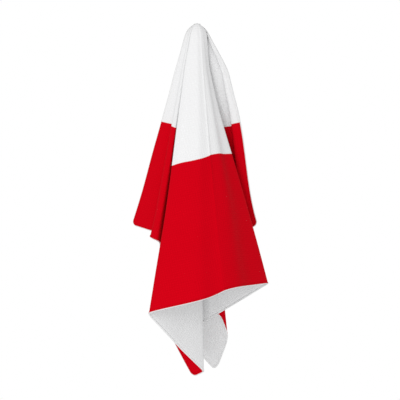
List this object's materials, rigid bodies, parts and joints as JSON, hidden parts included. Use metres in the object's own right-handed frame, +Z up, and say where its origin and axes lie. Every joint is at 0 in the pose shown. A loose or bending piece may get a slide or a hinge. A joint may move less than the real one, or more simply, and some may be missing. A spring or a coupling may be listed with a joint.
{
  "type": "golf towel",
  "caption": "Waffle-weave golf towel with a two-colour block print, hung by a tape loop at the middle of its long edge and draped in deep folds.",
  "frame": {"origin": "top of the hanging loop's eye, where a hook or peg carries the towel", "axes": "+Z up, +X to the right seen from the printed front, the front faces -Y"},
  "size_m": [0.2009, 0.2086, 0.5172],
  "materials": {
    "waffle_cloth": "matt waffle weave, red and white print on the face, white reverse",
    "overlock_thread": "soft overlocked thread",
    "loop_tape": "woven cotton tape",
    "tack_thread": "dense bar-tack thread"
  },
  "bodies": {
    "root": {"towel_cloth": "waffle_cloth", "edge_overlock": "overlock_thread", "hanging_loop": "loop_tape", "loop_stitching": "tack_thread"}
  },
  "joints": []
}
